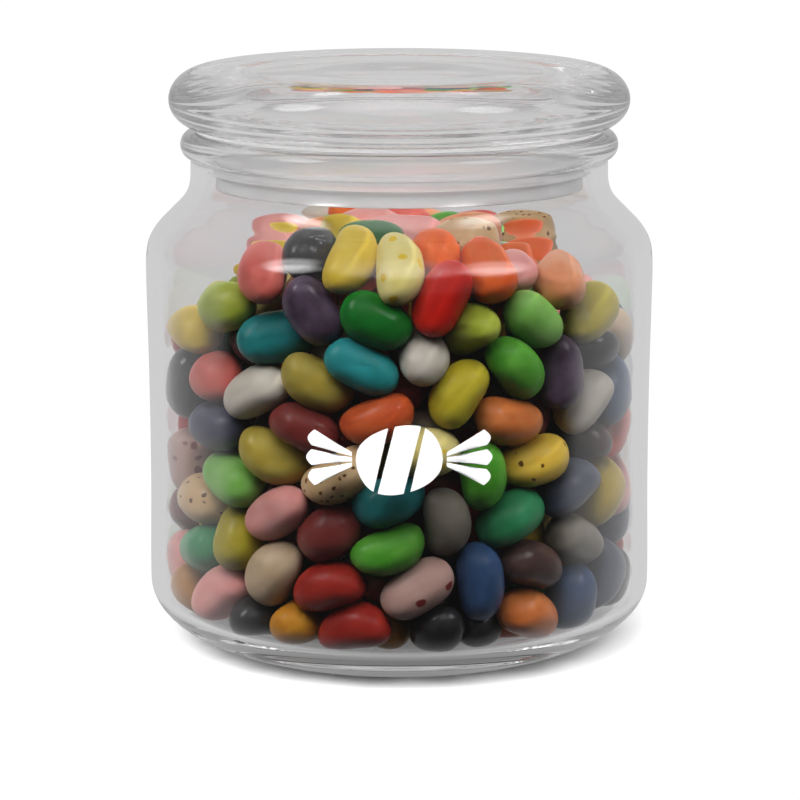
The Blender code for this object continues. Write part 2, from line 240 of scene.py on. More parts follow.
# The beans that show at the front: flavour, bearing round the jar in degrees (0 at the front, growing to
# the right), height in mm, lean of the long way in degrees off level, and how far in from the glass in mm
FRONT_BEANS = (
    ("pink", -81, 17, 80, 0), ("golden", -67, 14, 70, 0), ("pink", -51, 15.5, 65, 0),
    ("black", -41, 11.8, END_ON, 0), ("golden", -29, 12, END_ON, 1), ("ruby", -14, 11, 0, 1),
    ("golden", -1, 10.8, END_ON, 1), ("black", 11, 10.8, END_ON, 1), ("black", 22, 11.5, END_ON, 1),
    ("amber", 34, 15, -28, 0), ("blue", 51, 16.3, 80, 0), ("slate", 63, 18.4, 85, 0),
    ("black", 80, 16, 60, 0),
    ("lemon", -73, 25, 70, 3), ("emerald", -60, 23.5, 60, 0), ("stone", -35, 23, 35, 0),
    ("ruby", -18, 22.6, 22, 1), ("berry", -5.5, 20.8, END_ON, 0.5), ("cream", 5, 23, 55, 1),
    ("black", 14, 23.5, 80, 7), ("blue", 23.5, 24, -76, 0), ("cocoa", 36, 24.5, 10, 1),
    ("ash", 50, 27, 15, 1), ("orange", 70, 26, 70, 0), ("slate", 84, 27, 85, 0),
    ("pear", -46, 28.6, -40, 1), ("maroon", -19, 31.5, 12, 1), ("pea", -5.5, 30, 10, 0),
    ("ash", 11.5, 33, 78, 0), ("emerald", 32, 35, 28, 0), ("slate", 49, 37.5, 40, 1),
    ("lemon", 61, 36.5, 88, 0), ("pink", 75, 37, 80, 0), ("toffee", -59, 33.2, -12, 0),
    ("pink", -33, 35.5, 40, 0), ("maroon", -15, 37.5, 5, 7), ("teal", -2, 38.5, 15, 1),
    ("ruby", 10, 41, 0, 7), ("cream", -76, 40, 80, 0),
    ("leaf", -48.5, 41.2, -20, 0), ("olive", -31, 46.3, -9, 0), ("toffee", -14.5, 44.8, 52, 0),
    ("custard", 6.5, 49.5, -12, 0), ("pea", 20.5, 43.5, 80, 0), ("banana", 36.5, 45.6, -5, 0),
    ("cocoa", 59, 46.2, END_ON, 0), ("coral", 74, 47, 75, 0),
    ("slate", -71, 49, 80, 1), ("navy", -52, 51.5, -20, 0), ("maroon", -25, 55.8, -8, 0),
    ("ember", -8, 57, 28, 0), ("amber", 27.5, 55.7, -4, 0), ("maroon", 43.5, 54.8, 70, 1),
    ("white", 58, 57.5, 38, 0), ("blue", 72, 57, 80, 0),
    ("black", -70, 59.5, 75, 0), ("coral", -57, 62, -62, 0), ("white", -39, 61.4, 24, 0),
    ("olive", -19.5, 63.6, -24, 0), ("cherry", -3, 63, 20, 2), ("pear", 15.5, 61.3, 66, 0),
    ("plum", 44.5, 63.5, -70, 0), ("stone", 76, 67, 80, 0),
    ("forest", -71, 69, 80, 1), ("cocoa", -45, 69.5, 20, 2), ("teal", -30.5, 71.6, 14, 1),
    ("teal", -9, 70.6, -33, 0), ("white", 6.5, 71, END_ON, 2), ("lime", 18, 74, END_ON, 1),
    ("pea", 29, 67.5, -62, 0), ("emerald", 49, 73, 80, 7), ("black", 60, 67.5, END_ON, 0),
    ("lemon", -62, 75, 0, 0), ("lime", -48, 81, 0, 0), ("maroon", -32.5, 80, 75, 8),
    ("plum", -21.5, 79.4, -84, 0), ("forest", -6.5, 79.8, -28, 0), ("cherry", 8.5, 81.3, 15, 0),
    ("cocoa", 23, 80.5, 80, 8), ("leaf", 36, 77, -35, 0), ("pear", 54, 78, 0, 0),
    ("pink", 33.5, 82.5, END_ON, 1),
    ("coral", -33, 88.5, END_ON, 4), ("black", -22, 89, END_ON, 6), ("lemon", -11.5, 90, END_ON, 6.5),
    ("custard", -3.5, 88.5, END_ON, 6.5), ("orange", 8, 90, END_ON, 7), ("orange", 22.5, 89, END_ON, 4),
    ("apricot", 46, 83.5, 0, 6),
    ("lemon", -28, 89, 75, 6), ("pink", -30, 91, 0, 14), ("forest", -12, 91, 0, 14),
    ("pink", 5, 91, 10, 14), ("toffee", 24, 90, -5, 9.5), ("apricot", 40, 90, 0, 18),
)


# ---------------------------------------------------------------- outlines and turned pieces

def outline_of(node):
    """A turned node's outline as (radius, height) points in order, cut where y is 0 on the +X side.

    The outline of a plate or cup runs from the axis below to the axis above; a ring's is closed.
    """
    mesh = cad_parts[node].data
    places = [tuple(round(part, 6) for part in vertex.co) for vertex in mesh.vertices]
    beside = {}
    for edge in mesh.edges:
        ends = [places[index] for index in edge.vertices]
        if ends[0] != ends[1] and all(abs(end[1]) < 1e-5 and end[0] > 0 for end in ends):
            for here, there in (ends, ends[::-1]):
                beside.setdefault((here[0], here[2]), set()).add((there[0], there[2]))
    loose = sorted((place for place, near in beside.items() if len(near) == 1), key=lambda place: place[1])
    line = [loose[0] if loose else min(beside)]
    while True:
        ahead = [place for place in sorted(beside[line[-1]]) if place not in line]
        if not ahead:
            break
        line.append(ahead[0])
    if loose:
        line = [(0.0, line[0][1])] + line + [(0.0, line[-1][1])]
    return np.array(line), not loose


def unit(vectors):
    """The same vectors at length 1."""
    return vectors / np.linalg.norm(vectors, axis=-1, keepdims=True)


def rounded(line, closed):
    """Cut every sharp corner of an outline back to a small round."""
    count = len(line)
    made = []
    for index in range(count):
        here = line[index]
        if not closed and index in (0, count - 1):
            made.append(here)
            continue
        before, after = line[index - 1], line[(index + 1) % count]
        arrive, leave = unit(here - before), unit(after - here)
        if math.acos(np.clip(arrive @ leave, -1, 1)) < SHARP_TURN:
            made.append(here)
            continue
        beside = (np.linalg.norm(here - before), np.linalg.norm(after - here))
        cut = min(CORNER_ROUND, CORNER_SHARE * min(beside))
        start, end = here - arrive * cut, here + leave * cut
        made += [start, (start + 2 * here + end) / 4, end]
    return np.array(made)


def smooth(line, closed):
    """A smooth curve through an outline's points, given as many close points."""
    line = rounded(line, closed)
    count = len(line)
    before = np.roll(line, 1, 0)
    after = np.roll(line, -1, 0)
    way = unit(after - before)
    if not closed:
        way[0] = unit(line[1] - line[0])
        way[-1] = unit(line[-1] - line[-2])
    made = []
    for index in range(count if closed else count - 1):
        start, end = line[index], line[(index + 1) % count]
        leave, arrive = way[index], way[(index + 1) % count]
        span = np.linalg.norm(end - start)
        steps = max(1, round(span / OUTLINE_STEP))
        if min(leave @ (end - start), arrive @ (end - start)) >= STRAIGHT * span:
            steps = min(steps, STRAIGHT_STEPS)
        share = np.arange(steps)[:, None] / steps
        leaving = (share ** 3 - 2 * share ** 2 + share) * span * leave
        arriving = (share ** 3 - share ** 2) * span * arrive
        made.append((2 * share ** 3 - 3 * share ** 2 + 1) * start + leaving
                    + (3 * share ** 2 - 2 * share ** 3) * end + arriving)
    if not closed:
        made.append(line[-1:])
    return np.concatenate(made)


def add_piece(name, points, faces, finish):
    """A smooth-shaded mesh piece that rides on the jar."""
    mesh = bpy.data.meshes.new(name)
    mesh.from_pydata(points, [], faces)
    mesh.materials.append(finish)
    mesh.shade_smooth()
    piece = bpy.data.objects.new(name, mesh)
    bpy.context.scene.collection.objects.link(piece)
    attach(piece, "root")
    return piece


def turned_piece(name, line, closed, finish):
    """Spin an outline once round the Z axis."""
    count = len(line)
    turns = 2 * math.pi * np.arange(TURN_STEPS) / TURN_STEPS
    points, rows = [], []
    for radius, height in line:
        if radius < 1e-6:
            rows.append([len(points)] * TURN_STEPS)
            points.append((0.0, 0.0, height))
        else:
            rows.append(list(range(len(points), len(points) + TURN_STEPS)))
            points += [(radius * math.cos(turn), radius * math.sin(turn), height) for turn in turns]
    faces = []
    for index in range(count if closed else count - 1):
        lower, upper = rows[index], rows[(index + 1) % count]
        for step in range(TURN_STEPS):
            after = (step + 1) % TURN_STEPS
            corners = (lower[step], lower[after], upper[after], upper[step])
            faces.append(tuple(dict.fromkeys(corners)))
    piece = add_piece(name, points, faces, finish)
    shape = bmesh.new()
    shape.from_mesh(piece.data)
    bmesh.ops.recalc_face_normals(shape, faces=shape.faces)
    shape.to_mesh(piece.data)
    shape.free()
    return piece


# ---------------------------------------------------------------- materials

def new_material(name):
    """An empty node material with its output node."""
    made = bpy.data.materials.new(name)
    made.use_nodes = True
    made.node_tree.nodes.clear()
    output = made.node_tree.nodes.new("ShaderNodeOutputMaterial")
    return made, made.node_tree, output


def add_node(tree, kind, inputs=None, **settings):
    """A new node with its settings and some of its inputs set."""
    made = tree.nodes.new(kind)
    for name, value in settings.items():
        setattr(made, name, value)
    for name, value in (inputs or {}).items():
        made.inputs[name].default_value = value
    return made


def ramp(tree, source, span, low=0.0, high=1.0, eased=True):
    """A value that goes from low to high as its source goes over a span."""
    inputs = {"From Min": span[0], "From Max": span[1], "To Min": low, "To Max": high}
    kind = "SMOOTHSTEP" if eased else "LINEAR"
    made = add_node(tree, "ShaderNodeMapRange", inputs, interpolation_type=kind)
    tree.links.new(source, made.inputs["Value"])
    return made.outputs["Result"]


def calculated(tree, operation, first, second):
    """The result of a sum or a product of two values."""
    made = add_node(tree, "ShaderNodeMath", operation=operation)
    tree.links.new(first, made.inputs[0])
    tree.links.new(second, made.inputs[1])
    return made.outputs["Value"]


def noise(tree, place, scale, detail):
    """A noise node over a place."""
    made = add_node(tree, "ShaderNodeTexNoise", {"Scale": scale, "Detail": detail})
    tree.links.new(place, made.inputs["Vector"])
    return made


def mixed_shader(tree, share, first, second):
    """The first shader where the share is 0 and the second where it is 1."""
    made = add_node(tree, "ShaderNodeMixShader")
    tree.links.new(share, made.inputs["Fac"])
    tree.links.new(first, made.inputs[1])
    tree.links.new(second, made.inputs[2])
    return made.outputs["Shader"]


def see_through(name, colour, roughness, lamp_share, clearness):
    """Glass or milky plastic that also lets lamplight straight through to what is behind it."""
    made, tree, output = new_material(name)
    solid = add_node(tree, "ShaderNodeBsdfPrincipled", {
        "Base Color": (*colour, 1),
        "Roughness": roughness,
        "IOR": 1.5,
        "Transmission Weight": clearness,
    })
    clear = add_node(tree, "ShaderNodeBsdfTransparent", {"Color": (lamp_share, lamp_share, lamp_share, 1)})
    to_lamp = add_node(tree, "ShaderNodeLightPath").outputs["Is Shadow Ray"]
    shown = mixed_shader(tree, to_lamp, solid.outputs["BSDF"], clear.outputs["BSDF"])
    tree.links.new(shown, output.inputs["Surface"])
    return made


def flecked(tree, skin, place, fleck, size, share):
    """A skin colour with irregular flecks of another on it."""
    links = tree.links
    waves = noise(tree, place, FLECK_WAVES / size, detail=3)
    bend = add_node(tree, "ShaderNodeMix", data_type="VECTOR")
    bend.inputs["Factor"].default_value = FLECK_BEND * size
    links.new(place, bend.inputs["A"])
    links.new(waves.outputs["Color"], bend.inputs["B"])
    cells = add_node(tree, "ShaderNodeTexVoronoi", {"Scale": FLECK_CELLS / size})
    links.new(bend.outputs["Result"], cells.inputs["Vector"])
    own = add_node(tree, "ShaderNodeSeparateColor")
    links.new(cells.outputs["Color"], own.inputs["Color"])
    picked = add_node(tree, "ShaderNodeMath", operation="LESS_THAN")
    links.new(own.outputs["Red"], picked.inputs[0])
    picked.inputs[1].default_value = share
    shape = ramp(tree, cells.outputs["Distance"], FLECK_EDGE, eased=False)
    both = add_node(tree, "ShaderNodeMix", data_type="RGBA")
    links.new(calculated(tree, "MULTIPLY", shape, picked.outputs["Value"]), both.inputs["Factor"])
    links.new(skin, both.inputs["A"])
    both.inputs["B"].default_value = (*fleck, 1)
    return both.outputs["Result"]


def bean_material(name, crinkled, colour, cloud, cloud_share, fleck, fleck_size, fleck_share):
    """A polished sugar shell, clouded in two shades, in a tone of each bean's own, with flecks on some."""
    made, tree, output = new_material(name)
    links = tree.links
    place = add_node(tree, "ShaderNodeAttribute", attribute_name="bean_place").outputs["Vector"]
    tone = add_node(tree, "ShaderNodeAttribute", attribute_name="bean_tone").outputs["Fac"]
    clouds = noise(tree, place, CLOUD_SCALE, detail=3).outputs["Fac"]
    shade = add_node(tree, "ShaderNodeMix", data_type="RGBA")
    links.new(ramp(tree, clouds, CLOUD_RANGE, high=cloud_share, eased=False), shade.inputs["Factor"])
    shade.inputs["A"].default_value = (*colour, 1)
    shade.inputs["B"].default_value = (*cloud, 1)
    toned = add_node(tree, "ShaderNodeHueSaturation")
    links.new(ramp(tree, tone, (0, 1), *TONE_RANGE, eased=False), toned.inputs["Value"])
    links.new(shade.outputs["Result"], toned.inputs["Color"])
    skin = toned.outputs["Color"]
    if fleck:
        skin = flecked(tree, skin, place, fleck, fleck_size, fleck_share)
    grain_scale, strength, depth, coat = CRINKLED_SHELL if crinkled else SMOOTH_SHELL
    grain = noise(tree, place, grain_scale, detail=2).outputs["Fac"]
    bump = add_node(tree, "ShaderNodeBump", {"Strength": strength, "Distance": depth})
    links.new(grain, bump.inputs["Height"])
    shell = add_node(tree, "ShaderNodeBsdfPrincipled", {
        "Roughness": 0.38,
        "Specular IOR Level": 0.20,
        "Coat Weight": coat,
        "Coat Roughness": 0.12,
        "Subsurface Weight": 0.25,
        "Subsurface Radius": (1.0, 0.8, 0.6),
        "Subsurface Scale": 0.0016,
    })
    links.new(skin, shell.inputs["Base Color"])
    links.new(bump.outputs["Normal"], shell.inputs["Normal"])
    links.new(shell.outputs["BSDF"], output.inputs["Surface"])
    return made


def plain_material(name, colour, roughness):
    """A plain matt colour with faint unevenness."""
    made, tree, output = new_material(name)
    uneven = add_node(tree, "ShaderNodeTexNoise", {"Scale": 30})
    mix = add_node(tree, "ShaderNodeMix", data_type="RGBA")
    darker = [0.97 * part for part in colour]
    mix.inputs["A"].default_value = (*darker, 1)
    mix.inputs["B"].default_value = (*colour, 1)
    tree.links.new(uneven.outputs["Fac"], mix.inputs["Factor"])
    shader = add_node(tree, "ShaderNodeBsdfPrincipled", {"Roughness": roughness})
    tree.links.new(mix.outputs["Result"], shader.inputs["Base Color"])
    tree.links.new(shader.outputs["BSDF"], output.inputs["Surface"])
    return made


# ---------------------------------------------------------------- beans

class Heap:
    """The room that the beans fill: inside the CAD heap's outline and outside the smaller core."""

    def __init__(self):
        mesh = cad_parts["jelly_beans"].data
        self.points = np.array([vertex.co for vertex in mesh.vertices])
        self.faces = [tuple(face.vertices) for face in mesh.polygons]
        self.tree = BVHTree.FromPolygons(self.points.tolist(), self.faces)
        low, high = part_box("jelly_beans")
        self.middle = (low + high) / 2
        self.reach = HEAP_SHARE * high[0]
        side = np.linspace(-self.reach, self.reach, TOP_GRID)
        heights = np.array([[self.height(x, y) for y in side] for x in side])
        wide = np.pad(heights, 1, mode="edge")
        around = [wide[i:i + TOP_GRID, j:j + TOP_GRID] for i in range(3) for j in range(3)]
        self.tops = np.max(around, axis=0)

    def height(self, x, y):
        """The heap's height over a place; a place past its edge is first moved in."""
        inwards = min(1.0, self.reach / max(math.hypot(x, y), 1e-6))
        above = Vector((inwards * x, inwards * y, 1.0))
        return self.tree.ray_cast(above, Vector((0, 0, -1)))[0][2]

    def top(self, places):
        """The height that the tops of the beans reach over each place."""
        last = TOP_GRID - 1
        cells = np.rint((places[..., :2] / self.reach + 1) / 2 * last).astype(int).clip(0, last)
        return self.tops[cells[..., 0], cells[..., 1]]

    def holds(self, place):
        """True if a bean's middle may lie here: under the heap's top and outside the core."""
        spread = self.middle + (Vector(place) - self.middle) / CORE_SCALE
        spot, normal = self.tree.find_nearest(spread)[:2]
        return place[2] < self.top(place) - SUNK * BEAN_WIDTH and (spread - spot).dot(normal) > 0


def wall_line():
    """The jar's inside from the axis at its floor up to its mouth, as close points with inward normals."""
    line, closed = outline_of("jar")
    line = smooth(line, closed)
    inner = line[line[:, 1].argmax():][::-1]
    lengths = np.concatenate([[0], np.linalg.norm(np.diff(inner, axis=0), axis=1).cumsum()])
    marks = np.linspace(0, lengths[-1], WALL_MARKS)
    points = np.column_stack([np.interp(marks, lengths, inner[:, part]) for part in (0, 1)])
    along = unit(np.gradient(points, axis=0))
    return points, np.column_stack([-along[:, 1], along[:, 0]])


def wall_radius(points, height):
    """The inner radius of the jar at a height above its rounded corner."""
    rising = points[points[:, 0] > 0.5 * points[:, 0].max()]
    return np.interp(height, rising[:, 1], rising[:, 0])


def new_bean(flavour, bearing, radius, height, lean, kind):
    """A bean at a bearing round the jar (0 at the front, growing to the right), long way set by its lean."""
    turn = math.radians(bearing)
    outwards = np.array([math.sin(turn), -math.cos(turn), 0.0])
    sideways = np.array([math.cos(turn), math.sin(turn), 0.0])
    if lean is END_ON:
        way = unit(outwards + END_ON_LOOSENESS * chance.normal(size=3))
    else:
        tilt = math.radians(lean)
        way = math.cos(tilt) * sideways + math.sin(tilt) * np.array([0.0, 0.0, 1.0])
        way = unit(way + LOOSENESS[kind] * chance.normal(size=3))
    size = 1 + SIZE_SPREAD * np.clip(chance.normal(size=2), -2, 2)
    return {"flavour": flavour, "middle": outwards * radius + np.array([0.0, 0.0, height]), "way": way,
            "length": BEAN_LENGTH * size[0], "width": BEAN_WIDTH * size[1], "kind": kind}


def lay_beans(heap, wall):
    """Every bean in its first place: the chosen front, then course by course the outside and the inside."""
    names = list(FLAVOURS)
    beans = []
    for flavour, bearing, height, lean, inset in FRONT_BEANS:
        radius = wall_radius(wall, height / 1000) - BEAN_WIDTH / 2 - inset / 1000
        beans.append(new_bean(flavour, bearing, radius, height / 1000, lean, "front"))
    for course in range(COURSES + 1):
        height = FIRST_COURSE + (LAST_COURSE - FIRST_COURSE) * course / (COURSES - 1)
        rim = wall_radius(wall, height) - BEAN_WIDTH / 2
        around = 360 - 2 * FRONT_REACH
        count = round(math.radians(around) * rim / BEAN_PITCH) if course < COURSES else 0
        for place in range(count):
            bearing = FRONT_REACH + around * (place + 0.5) / count
            lean = chance.uniform(-90, 90) if chance.random() < LYING_SHARE else END_ON
            raised = height + chance.uniform(-OUTER_UNEVEN, OUTER_UNEVEN)
            flavour = names[chance.integers(len(names))]
            beans.append(new_bean(flavour, bearing, rim, raised, lean, "outer"))
        radius = rim - RING_PITCH
        while radius > INNERMOST:
            count = max(1, round(2 * math.pi * radius / BEAN_PITCH))
            first = chance.uniform(0, 360)
            for place in range(count):
                lean = chance.uniform(-90, 90)
                raised = height + chance.uniform(-INNER_UNEVEN, INNER_UNEVEN)
                flavour = names[chance.integers(len(names))]
                bearing = first + 360 * place / count
                beans.append(new_bean(flavour, bearing, radius, raised, lean, "inner"))
            radius -= RING_PITCH
    for bean in beans:
        across, back, height = bean["middle"]
        high_up = height > BRIGHT_ABOVE and math.hypot(across, back) > BRIGHT_OUTSIDE
        if bean["kind"] != "front" and high_up:
            bean["flavour"] = BRIGHT[chance.integers(len(BRIGHT))]
    return [bean for bean in beans if bean["kind"] == "front" or heap.holds(bean["middle"])]


def glass_clearance(points, wall, inward):
    """How far each point lies in from the glass, the way in from there, and its distance from the axis."""
    reach = np.linalg.norm(points[:, :2], axis=1)
    flat = np.column_stack([reach, points[:, 2]])
    nearest = ((flat[:, None] - wall[None]) ** 2).sum(2).argmin(1)
    clear = ((flat - wall[nearest]) * inward[nearest]).sum(1)
    return clear, inward[nearest], reach


def pushed_apart(balls, radii, first, second, share):
    """Balls moved part of the way out of the balls that they overlap, by each one's share of the move."""
    apart = balls[first] - balls[second]
    distance = np.linalg.norm(apart, axis=1)
    over = np.maximum(radii[first] + radii[second] - distance, 0)
    push = apart * (over / distance)[:, None]
    moved = np.zeros_like(balls)
    np.add.at(moved, first, push * share[:, None])
    np.add.at(moved, second, -push * (1 - share)[:, None])
    return balls + PUSH * moved


def keep_inside(balls, radii, heap, wall, inward):
    """Move balls in from the glass and down under the heap's top."""
    clear, ways_in, reach = glass_clearance(balls, wall, inward)
    back = np.maximum(radii - clear, 0)[:, None] * ways_in
    balls[:, :2] += balls[:, :2] / reach[:, None] * back[:, :1]
    balls[:, 2] += back[:, 1]
    balls[:, 2] = np.minimum(balls[:, 2], heap.top(balls) - radii)


def settle(beans, heap, wall, inward):
    """Push overlapping beans apart, inside the glass and under the heap's top, and let them sink a little.

    Each bean is a stiff chain of three balls. The chosen front beans are held near their bearing, height
    and lean, and give way mostly inwards.
    """
    middles = np.array([bean["middle"] for bean in beans])
    ways = np.array([bean["way"] for bean in beans])
    widths = np.array([bean["width"] for bean in beans])
    lengths = np.array([bean["length"] for bean in beans])
    ease = np.array([SETTLING[bean["kind"]] for bean in beans])
    front = np.array([bean["kind"] == "front" for bean in beans])
    hold = np.where(front, HOLD, 0)[:, None]
    sink = np.where(front, 0, SINK)
    lean_out = np.where((ease < 1) & (middles[:, 2] < SHOULDER_HEIGHT), LEAN_OUT, 0)[:, None]
    homes, home_ways = middles.copy(), ways.copy()
    ends = END_BALL * widths
    offsets = np.column_stack([ends - lengths / 2, 0 * ends, lengths / 2 - ends])
    radii = np.column_stack([ends, widths / 2, ends]).ravel()
    owner = np.repeat(np.arange(len(beans)), 3)
    ease = ease[owner]
    for step in range(ROUNDS):
        outwards = unit(middles * (1, 1, 0))
        if step < HELD_ROUNDS:
            middles[:, 2] -= sink
            middles += lean_out * outwards
            strayed = homes - middles
            strayed -= (strayed * outwards).sum(1)[:, None] * outwards
            middles += hold * strayed
            ways = unit(ways + hold * home_ways)
        balls = (middles[:, None] + ways[:, None] * offsets[:, :, None]).reshape(-1, 3)
        if step % SEARCH_EVERY == 0:
            gaps = np.linalg.norm(balls[:, None] - balls[None], axis=2)
            near = (gaps < SEARCH_REACH) & (owner[:, None] < owner[None])
            first, second = np.nonzero(near)
            share = ease[first] / (ease[first] + ease[second])
        balls = pushed_apart(balls, radii, first, second, share)
        keep_inside(balls, radii, heap, wall, inward)
        chains = balls.reshape(-1, 3, 3)
        middles = chains.mean(1)
        ways = unit(chains[:, 2] - chains[:, 0] + STIFFNESS * lengths[:, None] * ways)
    for bean, middle, way in zip(beans, middles, ways):
        bean["middle"], bean["way"] = middle, way


def clear_of_glass(points, wall, inward):
    """Points of one bean moved straight in from the glass, as far as its nearest point needs."""
    clear, ways_in, reach = glass_clearance(points, wall, inward)
    worst = clear.argmin()
    short = GLASS_GAP - clear[worst]
    if short <= 0:
        return points
    across, rise = ways_in[worst]
    outwards = points[worst, :2] / reach[worst]
    return points + short * np.array([across * outwards[0], across * outwards[1], rise])


def ball(level):
    """Points and triangles of an even unit ball."""
    shape = bmesh.new()
    bmesh.ops.create_icosphere(shape, subdivisions=level, radius=1.0)
    points = np.array([vertex.co for vertex in shape.verts])
    faces = np.array([[vertex.index for vertex in face.verts] for face in shape.faces])
    shape.free()
    return points, faces


def bean_points(points, bean):
    """A ball's points bent into one jelly bean: full ends, a slight kidney curve and small unevenness."""
    long_way, side, up = points.T
    fullness = np.sqrt((1 - np.abs(long_way) ** BEAN_FULLNESS + 1e-9) / (1 - long_way ** 2 + 1e-9))
    taper = 1 + chance.uniform(-BEAN_TAPER, BEAN_TAPER) * long_way
    curve = chance.uniform(*BEAN_CURVE)
    phase = chance.uniform(0, 2 * math.pi, 4)
    (first, along, over), (second, upwards, onwards) = BEAN_DENTS
    bumps = 1 + first * np.sin(along * long_way + phase[0]) * np.sin(over * side + phase[1])
    bumps += second * np.sin(upwards * up + phase[2]) * np.sin(onwards * long_way + phase[3])
    shift, waves = END_DENTS
    half = bean["width"] / 2
    wide, deep = BEAN_SECTION
    return np.column_stack([
        long_way * bean["length"] / 2 * (1 + shift * np.sin(waves * side + phase[1])),
        side * half * fullness * taper * bumps * wide,
        (up * fullness * taper * bumps - curve * (3 * long_way ** 2 - 1)) * half * deep,
    ])


def make_beans(beans, wall, inward):
    """One joined mesh for each flavour, with every bean's own place and tone kept as attributes."""
    fine, coarse = ball(FINE_BALL), ball(COARSE_BALL)
    for flavour, look in FLAVOURS.items():
        finish = bean_material("shell_" + flavour, flavour in CRINKLED, *look)
        points, faces, places, tones = [], [], [], []
        count = 0
        for bean in beans:
            if bean["flavour"] != flavour:
                continue
            base, triangles = coarse if bean["kind"] == "inner" else fine
            shaped = bean_points(base, bean)
            way = bean["way"]
            loose = unit(np.cross(way, chance.normal(size=3)))
            turn = np.array([way, loose, np.cross(way, loose)])
            placed = shaped @ turn + bean["middle"]
            if bean["kind"] != "inner":
                placed = clear_of_glass(clear_of_glass(placed, wall, inward), wall, inward)
            points.append(placed)
            places.append(shaped + chance.uniform(-1, 1, 3))
            tones.append(np.full(len(shaped), chance.random()))
            faces.append(triangles + count)
            count += len(shaped)
        piece = add_piece("beans_" + flavour, np.concatenate(points).tolist(),
                          np.concatenate(faces).tolist(), finish)
        place = piece.data.attributes.new("bean_place", "FLOAT_VECTOR", "POINT")
        place.data.foreach_set("vector", np.concatenate(places).ravel())
        tone = piece.data.attributes.new("bean_tone", "FLOAT", "POINT")
        tone.data.foreach_set("value", np.concatenate(tones))


def make_core(heap):
    """The smaller lumpy core behind the beans: the heap's own form, shrunk about its middle."""
    middle = np.array(heap.middle)
    points = middle + (heap.points - middle) * CORE_SCALE
    # Painted shade: the core is a dark matt brown standing in for the shaded beans deep inside the heap
    finish = plain_material("core", (0.05, 0.035, 0.03), 0.5)
    return add_piece("heap_core", points.tolist(), heap.faces, finish)


# ---------------------------------------------------------------- print

def stripe_outlines():
    """The sweet's round body as three slanted stripes with gaps between them."""
    half_gap = STRIPE_GAP / 2 / SWEET_HALF_LENGTH
    shapes = []
    for band in range(3):
        low = STRIPE_EDGES[band] + (half_gap if band else 0)
        high = STRIPE_EDGES[band + 1] - (half_gap if band < 2 else 0)
        upper, lower = [], []
        for step in range(STRIPE_STEPS + 1):
            share = low + (high - low) * step / STRIPE_STEPS
            rise = math.sqrt(max(1 - share * share, 0.0))
            slant = STRIPE_SLANT * rise * (1 - share * share)
            upper.append((SWEET_HALF_LENGTH * share + slant, SWEET_HALF_HEIGHT * rise))
            lower.append((SWEET_HALF_LENGTH * share - slant, -SWEET_HALF_HEIGHT * rise))
        if band == 0:
            lower = lower[1:]
        if band == 2:
            lower = lower[:-1]
        shapes.append(upper + lower[::-1])
    return shapes


def fan_outlines(side):
    """The pleats of the twist at one side of the sweet, spread from its knot."""
    shapes = []
    for fold in range(PLEATS):
        start = -1 + 2 * fold / PLEATS + PLEAT_GAP
        end = -1 + 2 * (fold + 1) / PLEATS - PLEAT_GAP
        shape = [(side * KNOT_REACH, KNOT_HALF_HEIGHT * edge) for edge in (end, start)]
        for step in range(FAN_STEPS + 1):
            share = start + (end - start) * step / FAN_STEPS
            bulge = PLEAT_BULGE * math.sin(math.pi * step / FAN_STEPS)
            reach = KNOT_REACH + FAN_LENGTH * (1 - FAN_CURVE * share * share) + bulge
            shape.append((side * reach, FAN_HALF_HEIGHT * share))
        shapes.append(shape)
    return shapes


def inside(outline, place):
    """True if a flat place lies inside an outline."""
    hit = False
    for (x1, y1), (x2, y2) in zip(outline, outline[1:] + outline[:1]):
        if (y1 > place[1]) != (y2 > place[1]) and place[0] < (x2 - x1) * (place[1] - y1) / (y2 - y1) + x1:
            hit = not hit
    return hit


def make_print():
    """The white print: a thin closed layer bedded in the jar's outer face at the front."""
    line, closed = outline_of("jar")
    line = smooth(line, closed)
    outer = line[:line[:, 1].argmax()]
    outer = outer[(outer[:, 1] > PRINT_WALL[0]) & (outer[:, 1] < PRINT_WALL[1])]
    points, faces = [], []
    for outline in stripe_outlines() + fan_outlines(-1) + fan_outlines(1):
        corners = np.array(outline)
        low, high = corners.min(0), corners.max(0)
        across = np.arange(low[0] + PRINT_STEP / 2, high[0], PRINT_STEP)
        upwards = np.arange(low[1] + PRINT_STEP / 2, high[1], PRINT_STEP)
        filling = [(x, y) for x in across for y in upwards if inside(outline, (x, y))]
        rim = [(index, (index + 1) % len(outline)) for index in range(len(outline))]
        places = [Vector(place) for place in outline + filling]
        flat, _, triangles = delaunay_2d_cdt(places, rim, [], 1, 1e-7)[:3]
        triangles = [tuple(triangle) for triangle in triangles]
        sides = dict.fromkeys(side for ends in triangles for side in zip(ends, ends[1:] + ends[:1]))
        edge = [side for side in sides if side[::-1] not in sides]
        base, count = len(points), len(flat)
        for offset in (PRINT_PROUD, -PRINT_BEDDED):
            for place in flat:
                height = PRINT_HEIGHT + place[1]
                radius = float(np.interp(height, outer[:, 1], outer[:, 0])) + offset
                turn = place[0] / radius
                points.append((radius * math.sin(turn), -radius * math.cos(turn), height))
        faces += [tuple(base + index for index in triangle) for triangle in triangles]
        faces += [tuple(base + count + index for index in triangle[::-1]) for triangle in triangles]
        faces += [(base + there, base + here, base + count + here, base + count + there)
                  for here, there in edge]
    finish = plain_material("print_white", (0.93, 0.93, 0.93), 0.45)
    piece = add_piece("sweet_print", points, faces, finish)
    piece.data.shade_flat()


# ---------------------------------------------------------------- stage

